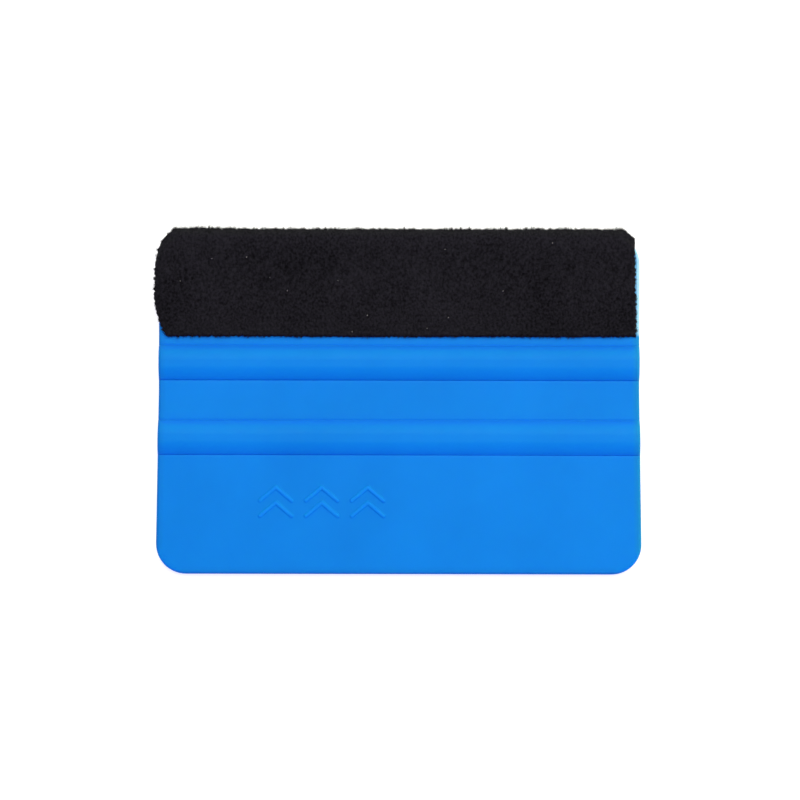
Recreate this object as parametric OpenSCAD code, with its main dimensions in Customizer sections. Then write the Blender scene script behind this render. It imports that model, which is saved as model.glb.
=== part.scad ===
// Squeegee applicator: a flexible moulded card with two grip ridges on each face,
// and a strip of black pile felt glued over its working edge.
//
// The card lies on its back ridges. X runs along the working edge, +Y points towards
// that edge, and Z is the thickness. The origin is the centre of the footprint.

/* [Blade] */
// Width across the tail, which is the widest place
blade_w = 101.6; // [99:0.1:104]
// Width of the parallel stretch behind the working edge
neck_w = 100.5; // [98:0.1:101.5]
// Distance from the tail edge to the bare working edge
blade_l = 71.2; // [70.5:0.1:74]
// Radius of the four corners, seen from above
corner_r = 6.3; // [3:0.1:7]
// Thickness between the ridges
web_t = 2.6; // [2.2:0.1:3]
// Thickness at the tail edge
tail_t = 2; // [1.6:0.1:2.2]
// Thickness of the bare working edge, which is fully round
nose_t = 1.6; // [1.2:0.1:1.8]
// Rounding along both sides of the tail edge
tail_r = 0.6; // [0.3:0.05:0.75]
// Where the flared sides become parallel, measured from the tail edge
flare_l = 38.5; // [34:0.5:42]

/* [Ridges] */
// Width of a ridge where it meets the card
ridge_w = 7.2; // [6:0.1:7.6]
// Height of a ridge above the card
ridge_h = 1.4; // [1.3:0.05:1.8]
// Height of the upright step at a ridge's foot, below its round top
ridge_step = 0.18; // [0.05:0.01:0.3]
// Width of the narrow flat along a ridge's crest
crest_w = 1.6; // [1:0.1:2.4]
// Distance from the tail edge to the centre of the rear ridge
rear_ridge_l = 28.55; // [27:0.05:29]
// Distance between the centres of the two ridges
ridge_pitch = 15.6; // [14:0.1:16]
// Diameter of the gate's stub on the left end of the front ridge
gate_d = 1.4; // [0.8:0.1:2]
// How far the gate's stub stands out of the ridge's end
gate_stub = 0.12; // [0.05:0.01:0.3]
// Distance of the gate's stub from the ridge's centre, towards the working edge
gate_offset = 2.1; // [-2.4:0.1:2.4]

/* [Mark] */
// Height of the raised direction mark above the card
mark_h = 0.25; // [0.15:0.05:0.4]
// Distance between the feet of one chevron
chevron_w = 6.6; // [5:0.1:7.4]
// Slope of a chevron's arms
arm_angle = 40; // [30:1:50]
// Width of the raised line, which has round ends
stroke_w = 0.8; // [0.6:0.1:1.2]
// Number of chevrons side by side
chevrons = 3; // [2:1:3]
// Distance between chevrons side by side
chevron_pitch = 9.6; // [9:0.1:11]
// Distance between a chevron and the one ahead of it
chevron_step = 3.2; // [2.6:0.1:4]
// Place of the mark's centre across the card
mark_x = -16.1; // [-24:0.1:24]
// Place of the mark's centre, measured from the tail edge
mark_l = 15.2; // [12:0.1:17]

/* [Felt] */
// Thickness of the felt, pile included
felt_t = 1.05; // [0.8:0.05:1.1]
// Thickness of the adhesive layer under the felt
adhesive_t = 0.15; // [0.1:0.05:0.2]
// Length of the felt's flap on the front face, from the outside of the fold
front_flap_l = 22.8; // [20:0.1:23]
// Length of the felt's flap on the back face, from the outside of the fold
back_flap_l = 22.2; // [20:0.1:23]
// How far the felt stands past the card's left side
felt_over_l = 0.9; // [0:0.1:1.2]
// How far the felt stops short of the card's right side
felt_short_r = 0.5; // [0:0.1:1.2]
// Width of the corner cut off the felt's left end at the fold
left_snip_w = 3.6; // [1:0.1:5]
// Length of the corner cut off the felt's left end at the fold
left_snip_l = 5.2; // [1:0.1:7]
// Width and length of the corner cut off the felt's right end at the fold
right_snip = 2; // [1:0.1:3]
// Width of the corner cut off the front flap's left end
flap_clip_w = 2.6; // [1:0.1:4]
// Length of the corner cut off the front flap's left end
flap_clip_l = 3.6; // [1:0.1:5]
// Margin of bare felt round the adhesive
adhesive_margin = 1; // [0.2:0.1:1.2]

/* [Hidden] */
$fn = 96;

blade_colour = [0.09, 0.52, 0.9];
adhesive_colour = [0.87, 0.85, 0.76];
felt_colour = [0.1, 0.1, 0.12];

wrap_t = adhesive_t + felt_t;
total_l = blade_l + wrap_t;
total_t = web_t + 2 * ridge_h;
tail_y = -total_l / 2;
fold_y = total_l / 2;
middle_z = total_t / 2;

front_ridge_l = rear_ridge_l + ridge_pitch;
ridge_places = [tail_y + rear_ridge_l, tail_y + front_ridge_l];
web_rear_y = ridge_places[0] - ridge_w / 2;
web_front_y = ridge_places[1] + ridge_w / 2;

// The nose is a full round of this radius about this place
nose_r = nose_t / 2;
nose_y = tail_y + blade_l - nose_r;
nose_taper = (web_t / 2 - nose_r) / (nose_y - web_front_y);
tail_taper = (web_t - tail_t) / 2 / (web_rear_y - tail_y);

// Circle that a ridge's round top is part of: how far its centre is below the top's edges, and its radius
dome_h = ridge_h - ridge_step;
dome_depth = (pow(ridge_w, 2) - pow(crest_w, 2)) / (8 * dome_h) - dome_h / 2;
dome_r = sqrt(pow(dome_depth, 2) + pow(ridge_w / 2, 2));

felt_left_x = -neck_w / 2 - felt_over_l;
felt_right_x = neck_w / 2 - felt_short_r;
// The felt stands out on the left and the tail on the right, so the whole is centred
centre_x = (felt_left_x + blade_w / 2) / 2;

// Length of one arm of a chevron, from its point to its foot
arm_l = chevron_w / 2 / cos(arm_angle);

// Room that a cutting shape needs past the solid it cuts
clear = 10;

// Half of the card's thickness at a place between the front ridge and the nose
function nose_half(y) = nose_r + (nose_y - y) * nose_taper;

// Turns a section drawn with Y across and Z up into a bar along X
module along_x(from_x, to_x) {
    translate([from_x, 0, 0])
        rotate([90, 0, 90])
            linear_extrude(height = to_x - from_x)
                children();
}

// Section of the card's nose and the taper behind it, grown by the given skin
module nose_section(grow, from_y) {
    rear = nose_half(from_y) + grow;
    front = nose_r + grow;
    translate([0, middle_z]) {
        translate([nose_y, 0])
            circle(r = front);
        polygon([[from_y, -rear], [nose_y, -front], [nose_y, front], [from_y, rear]]);
    }
}

// Section of one ridge on the upper side of the card's middle plane
module ridge_section() {
    intersection() {
        translate([0, web_t / 2 + ridge_step - dome_depth])
            circle(r = dome_r);
        translate([-ridge_w / 2, 0])
            square([ridge_w, web_t / 2 + ridge_h]);
    }
}

// Section of the whole card, with its ridges on both faces
module blade_section() {
    tail_half = tail_t / 2;
    web_half = web_t / 2;
    round_half = tail_half + tail_r * tail_taper;
    nose_section(0, web_front_y);
    translate([0, middle_z]) {
        // Card from the tail's rounding to the front ridge
        polygon([
            [tail_y + tail_r, -round_half], [web_rear_y, -web_half], [web_front_y, -web_half],
            [web_front_y, web_half], [web_rear_y, web_half], [tail_y + tail_r, round_half]
        ]);
        // Rounded tail edge
        translate([tail_y, tail_r - tail_half])
            square([tail_r * 2, tail_t - tail_r * 2]);
        for (side = [-1, 1])
            translate([tail_y + tail_r, side * (tail_half - tail_r)])
                circle(r = tail_r);
        for (y = ridge_places, side = [0, 1])
            translate([y, 0])
                mirror([0, side])
                    ridge_section();
    }
}

// Cuts a corner of the outline down to an arc; x and y point to the corner
module corner_cut(x, y, r) {
    translate([x[0] - x[1] * r, y[0] - y[1] * r])
        difference() {
            scale([x[1], y[1]])
                square(r + clear);
            circle(r = r);
        }
}

// Outline of the card, seen from above
module blade_outline() {
    half_tail = blade_w / 2;
    half_neck = neck_w / 2;
    nose_end_y = tail_y + blade_l;
    difference() {
        polygon([
            [-half_tail, tail_y], [half_tail, tail_y], [half_tail, tail_y + corner_r],
            [half_neck, tail_y + flare_l], [half_neck, nose_end_y],
            [-half_neck, nose_end_y], [-half_neck, tail_y + flare_l],
            [-half_tail, tail_y + corner_r]
        ]);
        for (side = [-1, 1]) {
            corner_cut([side * half_tail, side], [tail_y, -1], corner_r);
            corner_cut([side * half_neck, side], [nose_end_y, 1], corner_r);
        }
    }
}

// One straight stroke of the mark, from the point of a chevron down one arm
module stroke(side) {
    rotate(-90 + side * (90 - arm_angle)) {
        translate([0, -stroke_w / 2])
            square([arm_l, stroke_w]);
        translate([arm_l, 0])
            circle(d = stroke_w);
    }
}

// One chevron that points at the working edge, centred on its own box
module chevron() {
    translate([0, arm_l * sin(arm_angle) / 2]) {
        stroke(-1);
        stroke(1);
        circle(d = stroke_w);
    }
}

// Two rows of raised chevrons on the front face of the tail panel
module direction_mark() {
    tilt = atan(tail_taper);
    y = tail_y + mark_l;
    surface_z = middle_z + tail_t / 2 + mark_l * tail_taper;
    translate([mark_x, y, surface_z])
        rotate([tilt, 0, 0])
            translate([0, 0, -tail_t / 4])
                linear_extrude(height = tail_t / 4 + mark_h)
                    for (i = [0 : chevrons - 1], ahead = [-0.5, 0.5])
                        translate([(i - (chevrons - 1) / 2) * chevron_pitch, ahead * chevron_step])
                            chevron();
}

// What is left of the moulding gate, on the left end of the front ridge
module gate() {
    translate([-neck_w / 2 - gate_stub, ridge_places[1] + gate_offset, middle_z])
        rotate([0, 90, 0])
            cylinder(h = clear / 2, d = gate_d);
}

module blade() {
    color(blade_colour)
        translate([-centre_x, 0, 0]) {
            intersection() {
                along_x(-blade_w, blade_w)
                    blade_section();
                linear_extrude(height = total_t)
                    blade_outline();
            }
            direction_mark();
            gate();
        }
}

// Outline of the felt on both faces, drawn back from its own edges by the margin
module felt_outline(margin) {
    left = felt_left_x + margin;
    right = felt_right_x - margin;
    top = fold_y;
    low = fold_y - max(front_flap_l, back_flap_l) - clear;
    polygon([
        [left, low], [right, low], [right, top - right_snip], [right - right_snip, top],
        [left + left_snip_w, top], [left, top - left_snip_l]
    ]);
}

// A layer folded over the nose: its section between two skins, cut to both flaps
module folded_layer(inner, outer, margin) {
    front_y = fold_y - front_flap_l + margin;
    back_y = fold_y - back_flap_l + margin;
    start_y = min(front_y, back_y);
    intersection() {
        along_x(felt_left_x - clear, felt_right_x + clear)
            difference() {
                nose_section(outer, start_y);
                nose_section(inner, start_y - clear);
                translate([start_y - clear, middle_z])
                    square([front_y - start_y + clear, middle_z]);
                translate([start_y - clear, 0])
                    square([back_y - start_y + clear, middle_z]);
            }
        linear_extrude(height = total_t)
            felt_outline(margin);
    }
}

// The corner that is missing from the left end of the front flap
module flap_clip(margin) {
    low = fold_y - front_flap_l;
    left = felt_left_x;
    lap = margin * 2;
    translate([0, 0, middle_z])
        linear_extrude(height = middle_z)
            polygon([
                [left - clear, low - clear], [left + flap_clip_w + lap, low - clear],
                [left + flap_clip_w + lap, low], [left + lap, low + flap_clip_l],
                [left - clear, low + flap_clip_l]
            ]);
}

module adhesive_tape() {
    color(adhesive_colour)
        translate([-centre_x, 0, 0])
            difference() {
                folded_layer(0, adhesive_t, adhesive_margin);
                flap_clip(adhesive_margin);
            }
}

module felt_strip() {
    color(felt_colour)
        translate([-centre_x, 0, 0])
            difference() {
                folded_layer(adhesive_t, wrap_t, 0);
                flap_clip(0);
            }
}

blade();
adhesive_tape();
felt_strip();
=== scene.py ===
import math

import bpy
import numpy as np
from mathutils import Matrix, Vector


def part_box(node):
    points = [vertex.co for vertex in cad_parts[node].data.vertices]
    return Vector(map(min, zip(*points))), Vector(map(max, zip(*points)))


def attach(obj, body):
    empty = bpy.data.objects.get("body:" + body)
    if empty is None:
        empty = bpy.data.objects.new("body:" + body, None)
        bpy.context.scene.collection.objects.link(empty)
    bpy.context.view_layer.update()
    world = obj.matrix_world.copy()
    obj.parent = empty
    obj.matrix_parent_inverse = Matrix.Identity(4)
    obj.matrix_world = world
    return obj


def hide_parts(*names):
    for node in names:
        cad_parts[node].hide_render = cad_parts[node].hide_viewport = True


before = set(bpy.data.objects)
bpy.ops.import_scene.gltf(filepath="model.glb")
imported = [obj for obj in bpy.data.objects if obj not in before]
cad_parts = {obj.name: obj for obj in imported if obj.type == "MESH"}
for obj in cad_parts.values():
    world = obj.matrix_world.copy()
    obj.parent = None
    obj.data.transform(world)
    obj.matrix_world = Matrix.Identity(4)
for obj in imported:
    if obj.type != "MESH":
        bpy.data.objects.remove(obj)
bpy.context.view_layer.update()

# A squeegee applicator: a moulded blue card and the black pile felt folded over its
# working edge. All meshes are worked out in millimetres and scaled when they are made.
# X runs along the working edge, +Y points towards it, and Z is the thickness.
MM = 0.001

# Card, the same sizes as the CAD's
NECK_W = 100.5
CORNER_R = 6.3
WEB_T = 2.6
TAIL_T = 2.0
NOSE_R = 0.8
EDGE_R = 0.6
FLARE_L = 38.5
RIDGE_W = 7.2
RIDGE_H = 1.4
RIDGE_STEP = 0.18
CREST_W = 1.6
REAR_RIDGE_L = 28.55
RIDGE_PITCH = 15.6
GATE_D = 1.4
GATE_STUB = 0.12
GATE_OFFSET = 2.1

# Raised mark, the same sizes as the CAD's
MARK_H = 0.25
CHEVRON_W = 6.6
ARM_ANGLE = math.radians(40)
STROKE_W = 0.8
CHEVRONS = 3
CHEVRON_PITCH = 9.6
CHEVRON_STEP = 3.2
MARK_X = -16.1
MARK_L = 15.2

# Felt, the same sizes as the CAD's
FELT_T = 1.05
ADHESIVE_T = 0.15
FLAP_DIFFERENCE = 0.6

# Rounding of the card's edge beside the working edge, where it is a little softer
NOSE_EDGE_R = 0.76

# Foot of a ridge: how far its step reaches out and in, and the fine groove past it
FOOT_OUT = 0.04
FOOT_IN = 0.08
GROOVE_DEPTH = 0.085
REAR_GROOVE_DEPTH = 0.045
GROOVE_W = 0.24

# Section of the mark's line: how much its top falls off, and where its sides start
MARK_FALL = 0.15
MARK_SHOULDER = 0.7
MARK_SIDE = 0.45

# Wall of the card: how far it is set in, and half of the bead round its middle
WALL_INSET = 0.05
BEAD_HALF = 0.06
BEAD_SHARE = 0.12
BEAD_INSET = 0.8

# Sink marks, which fade out towards the tail edge
SINK = 0.012
SINK_CELLS = (13, 9)
SINK_FADE = 3

# Ejector pins' marks on the back; PIN_L is measured from the tail edge
PIN_R = 2.5
PIN_DEPTH = 0.06
PIN_EDGE = 0.25
PIN_X = 33.0
PIN_L = 17.5

# Gate's stub: (share of its radius, height) of each ring, how uneven all of them are, and
# how rough those within a share of the radius are
GATE_RINGS = ((1.0, -0.3), (1.0, 0.05), (0.93, 0.1), (0.6, GATE_STUB), (0.25, 0.07))
GATE_SIDES = 20
GATE_UNEVEN = 0.05
GATE_ROUGH = 0.02
GATE_SMOOTH_FROM = 0.9

# Painted light on the card: painted shade along the ridges' front feet and on the left and tail
# rims, and a painted highlight on the right rim and on the strip beside the felt's right end
SHADE_IN = 0.3
SHADE_W = 0.65
FELT_SIDE_HIGHLIGHT_W = 1.0
FELT_SIDE_HIGHLIGHT_FADE = 0.7
FELT_SIDE_HIGHLIGHT_START = 0.8
RIM_W = 1.3
RIM_DEPTH = 0.3

# Mesh steps of the card
CARD_CELL = 1.22
FOOT_ROWS = (-0.5, -0.22, -0.12, -FOOT_IN, -0.05, -0.02, 0.01, FOOT_OUT)
GROOVE_ROWS = (0.1, 0.17, 0.25, 0.34, 0.45, 0.6)
TOP_ROWS = 16
TOP_INSET = 0.8
RIM_SHARES = (0.8, 0.6, 0.42, 0.27)
WALL_ROWS = ((0.6, 1.0), (0.25, 0.9))
MARK_SPLIT = 12
PIN_SPLIT = 8
PIN_MARGIN = 0.4
FAN_STEPS = 14
ROUND_STEPS = 7

card_lo, card_hi = (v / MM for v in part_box("blade"))
felt_lo, felt_hi = (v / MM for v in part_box("felt_strip"))
centre_x = (card_lo.x + card_hi.x) / 2
half_tail = (card_hi.x - card_lo.x) / 2
half_neck = NECK_W / 2
tail_y = card_lo.y
nose_end_y = card_hi.y
nose_y = nose_end_y - NOSE_R
middle_z = (card_lo.z + card_hi.z) / 2
ridge_places = [tail_y + REAR_RIDGE_L, tail_y + REAR_RIDGE_L + RIDGE_PITCH]
web_rear_y = ridge_places[0] - RIDGE_W / 2
web_front_y = ridge_places[1] + RIDGE_W / 2
dome_h = RIDGE_H - RIDGE_STEP
dome_depth = (RIDGE_W**2 - CREST_W**2) / (8 * dome_h) - dome_h / 2
dome_r = math.hypot(dome_depth, RIDGE_W / 2)
mark_centre = (MARK_X, tail_y + MARK_L)
arm_rise = CHEVRON_W / 2 * math.tan(ARM_ANGLE)


# ---- Helpers ----


def ramp(t):
    """From 0 to 1 with soft ends."""
    t = np.clip(t, 0, 1)
    return t * t * (3 - 2 * t)


def lumps(x, y, cell_x, cell_y, seed):
    """Smooth random heights from -1 to 1, which change from one cell to the next."""
    size = 512
    table = np.random.default_rng(seed).uniform(-1, 1, (size, size))
    u = np.asarray(x) / cell_x + size
    v = np.asarray(y) / cell_y + size
    i = np.floor(u).astype(int)
    j = np.floor(v).astype(int)
    a = ramp(u - i)
    b = ramp(v - j)
    near = table[i % size, j % size] * (1 - a) + table[(i + 1) % size, j % size] * a
    far_j = (j + 1) % size
    far = table[i % size, far_j] * (1 - a) + table[(i + 1) % size, far_j] * a
    return near * (1 - b) + far * b


def make_piece(name, points, faces, material):
    """A smooth-shaded mesh object from points in millimetres."""
    mesh = bpy.data.meshes.new(name)
    mesh.from_pydata((np.asarray(points) * MM).tolist(), [], faces)
    mesh.polygons.foreach_set("use_smooth", [True] * len(mesh.polygons))
    mesh.materials.append(material)
    mesh.validate()
    mesh.update()
    piece = bpy.data.objects.new(name, mesh)
    bpy.context.scene.collection.objects.link(piece)
    return piece


def store_values(piece, name, values):
    """Keeps one number for each point of a piece, for its material to read."""
    store = piece.data.attributes.new(name, "FLOAT", "POINT")
    store.data.foreach_set("value", np.asarray(values, np.float32))


# ---- Shape of the card ----


def half_width(y):
    """Half of the card's width: widest at the tail, parallel from the flare's end on."""
    places = [tail_y + CORNER_R, tail_y + FLARE_L]
    return np.interp(y, places, [half_tail, half_neck])


def past_neck(x, y):
    """How far out of the card's outline a place near the working edge is; below 0 inside."""
    over_x = np.abs(x) - (half_neck - CORNER_R)
    over_y = y - (nose_end_y - CORNER_R)
    return np.hypot(np.maximum(over_x, 0), np.maximum(over_y, 0)) - CORNER_R


def card_half(y):
    """Half of the card's thickness without its ridges."""
    places = [tail_y, web_rear_y, web_front_y, nose_y]
    return np.interp(y, places, [TAIL_T / 2, WEB_T / 2, WEB_T / 2, NOSE_R])


def ridge_height(y):
    """Height of the two grip ridges: a round top on a low upright step, in a fine groove."""
    height = np.zeros_like(y)
    groove = np.zeros_like(y)
    for place in ridge_places:
        off = np.abs(y - place)
        dome = np.sqrt(np.maximum(dome_r**2 - off**2, 0)) - dome_depth + RIDGE_STEP
        foot = ramp((RIDGE_W / 2 + FOOT_OUT - off) / (FOOT_OUT + FOOT_IN))
        height = np.maximum(height, np.minimum(dome, RIDGE_H) * foot)
        past_foot = off - RIDGE_W / 2 - FOOT_OUT
        depth = np.where(y > place, GROOVE_DEPTH, REAR_GROOVE_DEPTH)
        groove = groove + depth * np.exp(-((past_foot / GROOVE_W) ** 2))
    return height - groove


def foot_shade(y):
    """From 0 to 1, how much painted shade darkens the blue along the front foot of each ridge."""
    shade = np.zeros_like(y)
    for place in ridge_places:
        past_centre = y - place - RIDGE_W / 2 + SHADE_IN
        shade = shade + np.exp(-((past_centre / SHADE_W) ** 2))
    return shade


def mark_height(x, y):
    """Height of the raised chevrons, whose line has a rounded top and steep sides."""
    nearest = np.full(np.shape(x), np.inf)
    for i in range(CHEVRONS):
        for ahead in (-0.5, 0.5):
            tip_x = mark_centre[0] + (i - (CHEVRONS - 1) / 2) * CHEVRON_PITCH
            tip_y = mark_centre[1] + ahead * CHEVRON_STEP + arm_rise / 2
            for side in (-1, 1):
                arm = np.array([side * CHEVRON_W / 2, -arm_rise])
                along = ((x - tip_x) * arm[0] + (y - tip_y) * arm[1]) / (arm @ arm)
                along = np.clip(along, 0, 1)
                off = np.hypot(x - tip_x - along * arm[0], y - tip_y - along * arm[1])
                nearest = np.minimum(nearest, off)
    share = nearest / (STROKE_W / 2)
    top = 1 - MARK_FALL * share**2
    return MARK_H * top * (1 - ramp((share - MARK_SHOULDER) / MARK_SIDE))


def pin_places():
    """Where the ejector pins pushed, on the back face."""
    web_y = sum(ridge_places) / 2
    return [(side * PIN_X, y) for side in (-1, 1) for y in (tail_y + PIN_L, web_y)]


def pin_dip(x, y):
    """Depth of the faint round witness marks that the ejector pins left."""
    dip = np.zeros(np.shape(x))
    for px, py in pin_places():
        off = np.hypot(x - px, y - py)
        dip = dip + PIN_DEPTH * (1 - ramp((off - PIN_R) / PIN_EDGE))
    return dip


def skin_half(x, y, front):
    """Height of one face above the card's middle plane."""
    front_waves = lumps(x, y, *SINK_CELLS, 3)
    back_waves = lumps(x, y, *SINK_CELLS, 4)
    sink = SINK * np.where(front, front_waves, back_waves) * ramp((y - tail_y) / SINK_FADE)
    half = card_half(y) + ridge_height(y) + sink
    half = np.minimum(half, WEB_T / 2 + RIDGE_H)
    return half + np.where(front, mark_height(x, y), -pin_dip(x, y))


def row_places():
    """Where the mesh rows lie: close together at the ridges' feet and on their tops."""
    low = tail_y + CORNER_R
    high = nose_end_y - CORNER_R
    reach = RIDGE_W / 2
    top = reach - TOP_INSET
    rows = []
    for place in ridge_places:
        for side in (-1, 1):
            rows += [place + side * (reach + off) for off in FOOT_ROWS + GROOVE_ROWS]
        rows += list(place + np.linspace(-top, top, TOP_ROWS))
    rows = sorted(rows)
    per_ridge = len(rows) // 2
    edges = [low, rows[0], rows[per_ridge - 1], rows[per_ridge], rows[-1], high]
    for a, b in zip(edges[::2], edges[1::2]):
        count = max(2, round((b - a) / CARD_CELL))
        rows += list(np.linspace(a, b, count + 1))
    return np.array(sorted(set(np.round(rows, 5))))


rows = row_places()
columns = round(2 * (half_tail - CORNER_R) / CARD_CELL)


def grid_place(i, j):
    """A point of the card's inner grid, for column i and row j or places between them."""
    y = np.interp(j, np.arange(len(rows)), rows)
    x = (2 * np.asarray(i) / columns - 1) * (half_width(y) - CORNER_R)
    return x, y


def spokes():
    """Lines from the inner grid's border out to the card's outline, in order round it."""
    last_i, last_j = columns, len(rows) - 1
    border = [
        ([(i, 0) for i in range(last_i + 1)], -90),
        ([(last_i, j) for j in range(last_j + 1)], 0),
        ([(i, last_j) for i in range(last_i, -1, -1)], 90),
        ([(0, j) for j in range(last_j, -1, -1)], 180),
    ]
    found = []
    for cells, angle in border:
        found += [(i, j, math.radians(angle)) for i, j in cells]
        i, j = cells[-1]
        for step in range(1, FAN_STEPS):
            found.append((i, j, math.radians(angle + 90 * step / FAN_STEPS)))
    return np.array(found)


def patch_cells(x0, y0, x1, y1):
    """The range of grid cells that covers a box on the card."""
    j0 = int(np.searchsorted(rows, y0)) - 1
    j1 = int(np.searchsorted(rows, y1))
    inner = half_width((y0 + y1) / 2) - CORNER_R
    i0 = math.floor((x0 / inner + 1) * columns / 2)
    i1 = math.ceil((x1 / inner + 1) * columns / 2)
    return i0, j0, i1, j1


class CardBuilder:
    """Collects the card's points and faces, one face of the card at a time."""

    def __init__(self):
        self.points = []
        self.faces = []
        self.lines = spokes()
        self.base_x, self.base_y = grid_place(self.lines[:, 0], self.lines[:, 1])
        self.out_x = np.cos(self.lines[:, 2])
        self.out_y = np.sin(self.lines[:, 2])
        self.edge_r = EDGE_R + (NOSE_EDGE_R - EDGE_R) * np.maximum(self.out_y, 0) ** 2
        self.seam = self.add(*self.spoke_place(0.0), np.zeros(len(self.lines)))

    def add(self, x, y, z):
        """Adds points and returns their numbers in the same layout."""
        x = np.asarray(x, float)
        first = len(self.points)
        self.points += np.stack([np.ravel(x), np.ravel(y), np.ravel(z)], 1).tolist()
        return np.arange(first, first + x.size).reshape(x.shape)

    def spoke_place(self, inset):
        """The points on all spokes at this distance inside the outline."""
        reach = CORNER_R - inset
        return self.base_x + self.out_x * reach, self.base_y + self.out_y * reach

    def quad(self, corners, front):
        """Adds a face whose corners run anticlockwise as seen from the front."""
        kept = [c for n, c in enumerate(corners) if c != corners[n - 1]]
        self.faces.append(kept if front else kept[::-1])

    def strip(self, inner, outer, front):
        """Joins two rings of points that have one point on each spoke."""
        for n in range(len(inner)):
            m = (n + 1) % len(inner)
            self.quad([inner[n], outer[n], outer[m], inner[m]], front)

    def rings(self, front):
        """The rounded edge and the wall, from the inner grid's border to the seam."""
        made = []
        for share in RIM_SHARES:
            x, y = self.spoke_place(CORNER_R * share)
            made.append((x, y, skin_half(x, y, front)))
        for step in range(ROUND_STEPS + 1):
            turn = math.pi / 2 * step / ROUND_STEPS
            inset = WALL_INSET + self.edge_r * (1 - math.sin(turn))
            x, y = self.spoke_place(inset)
            made.append((x, y, skin_half(x, y, front) - self.edge_r * (1 - math.cos(turn))))
        wall = made[-1][2]
        for share, inset in WALL_ROWS:
            made.append((*self.spoke_place(WALL_INSET * inset), wall * share))
        bead = np.minimum(wall * BEAD_SHARE, BEAD_HALF)
        made.append((*self.spoke_place(WALL_INSET * BEAD_INSET), bead))
        return made

    def side(self, front, patches):
        """One face of the card. patches are (cell range, split) of its finer places."""
        up = 1 if front else -1
        j, i = np.meshgrid(np.arange(len(rows)), np.arange(columns + 1), indexing="ij")
        x, y = grid_place(i, j)
        grid = self.add(x, y, up * skin_half(x, y, front))
        covered = np.zeros((len(rows) - 1, columns), bool)
        extra = {}
        for (i0, j0, i1, j1), split in patches:
            covered[j0:j1, i0:i1] = True
            self.patch(grid, extra, (i0, j0, i1, j1), split, front)
        for j in range(len(rows) - 1):
            for i in range(columns):
                if not covered[j, i]:
                    self.cell(grid, extra, i, j, front)
        ring = grid[self.lines[:, 1].astype(int), self.lines[:, 0].astype(int)]
        for x, y, half in self.rings(front):
            outer = self.add(x, y, up * half)
            self.strip(ring, outer, front)
            ring = outer
        self.strip(ring, self.seam, front)

    def cell(self, grid, extra, i, j, front):
        """One plain cell, which takes in the points of a finer neighbour's border."""
        corners = [grid[j, i], grid[j, i + 1], grid[j + 1, i + 1], grid[j + 1, i]]
        loop = []
        for a, b in zip(corners, corners[1:] + corners[:1]):
            loop.append(a)
            loop += extra.get((a, b), [])
        self.quad(loop, front)

    def patch(self, grid, extra, cells, split, front):
        """A block of cells, each split finely both ways."""
        i0, j0, i1, j1 = cells
        wide = (i1 - i0) * split
        high = (j1 - j0) * split
        v, u = np.meshgrid(np.arange(high + 1), np.arange(wide + 1), indexing="ij")
        x, y = grid_place(i0 + u / split, j0 + v / split)
        fine = np.zeros(x.shape, int)
        shared = (u % split == 0) & (v % split == 0) & ((u % wide == 0) | (v % high == 0))
        fine[shared] = grid[j0 + v[shared] // split, i0 + u[shared] // split]
        new = ~shared
        up = 1 if front else -1
        fine[new] = self.add(x[new], y[new], up * skin_half(x[new], y[new], front))
        for v in range(high):
            for u in range(wide):
                corners = [fine[v, u], fine[v, u + 1], fine[v + 1, u + 1], fine[v + 1, u]]
                self.quad(corners, front)
        for line in (fine[0], fine[-1], fine[:, 0], fine[:, -1]):
            for start in range(0, len(line) - 1, split):
                between = line[start + 1:start + split].tolist()
                a, b = line[start], line[start + split]
                extra[a, b] = between
                extra[b, a] = between[::-1]


def gate_stub():
    """The rough little disc that the moulding gate left on the front ridge's left end."""
    rng = np.random.default_rng(11)
    around = GATE_SIDES
    turn = np.arange(around) / around * 2 * math.pi
    wall_x = -half_neck + WALL_INSET
    place_y = ridge_places[1] + GATE_OFFSET
    points = []
    for share, out in GATE_RINGS:
        r = GATE_D / 2 * share * (1 + GATE_UNEVEN * rng.uniform(-1, 1, around))
        rise = np.full(around, out)
        if share < GATE_SMOOTH_FROM:
            rise += GATE_ROUGH * rng.uniform(-1, 1, around)
        ring = np.stack([wall_x - rise, place_y + r * np.cos(turn), r * np.sin(turn)], 1)
        points += ring.tolist()
    last = len(GATE_RINGS) - 1
    faces = [list(range(around))[::-1], [last * around + n for n in range(around)]]
    for ring in range(last):
        for n in range(around):
            m = (n + 1) % around
            a, b = ring * around, (ring + 1) * around
            faces.append([a + n, a + m, b + m, b + n])
    return points, [face[::-1] for face in faces]


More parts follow.
